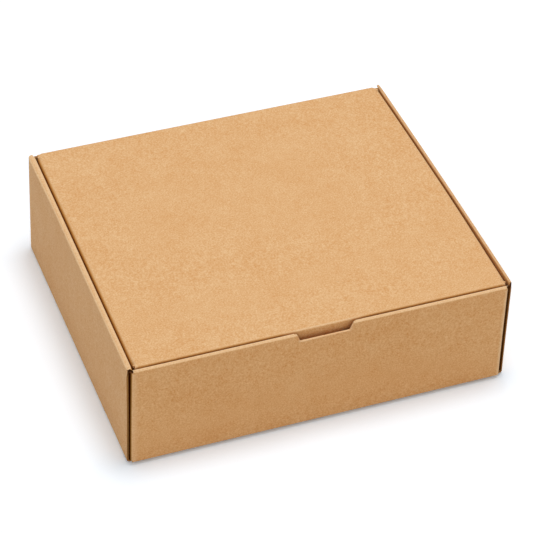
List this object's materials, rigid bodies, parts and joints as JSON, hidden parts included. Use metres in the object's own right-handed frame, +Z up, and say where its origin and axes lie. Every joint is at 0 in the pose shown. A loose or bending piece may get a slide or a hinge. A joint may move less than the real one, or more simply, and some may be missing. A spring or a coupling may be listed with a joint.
{
  "type": "mailing box",
  "caption": "Closed roll-end mailing box folded from brown corrugated board, with double walls, a thumb notch and a tuck-in lid that swings open on its back crease.",
  "frame": {"origin": "on the underside of the floor, below the middle of the box", "axes": "+Z up, -Y towards the front wall with the thumb notch, +X to the right seen from the front"},
  "size_m": [0.3, 0.258, 0.093],
  "materials": {
    "kraft_board": "matte"
  },
  "bodies": {
    "tray body": {"tray": "kraft_board"},
    "lid body": {"lid": "kraft_board"}
  },
  "joints": [
    {"name": "lid_crease", "type": "hinge", "parent": "tray body", "child": "lid body", "pos_m": [0, 0.1283, 0.0923], "axis": [-1, 0, 0], "range_deg": [0, 180]}
  ]
}
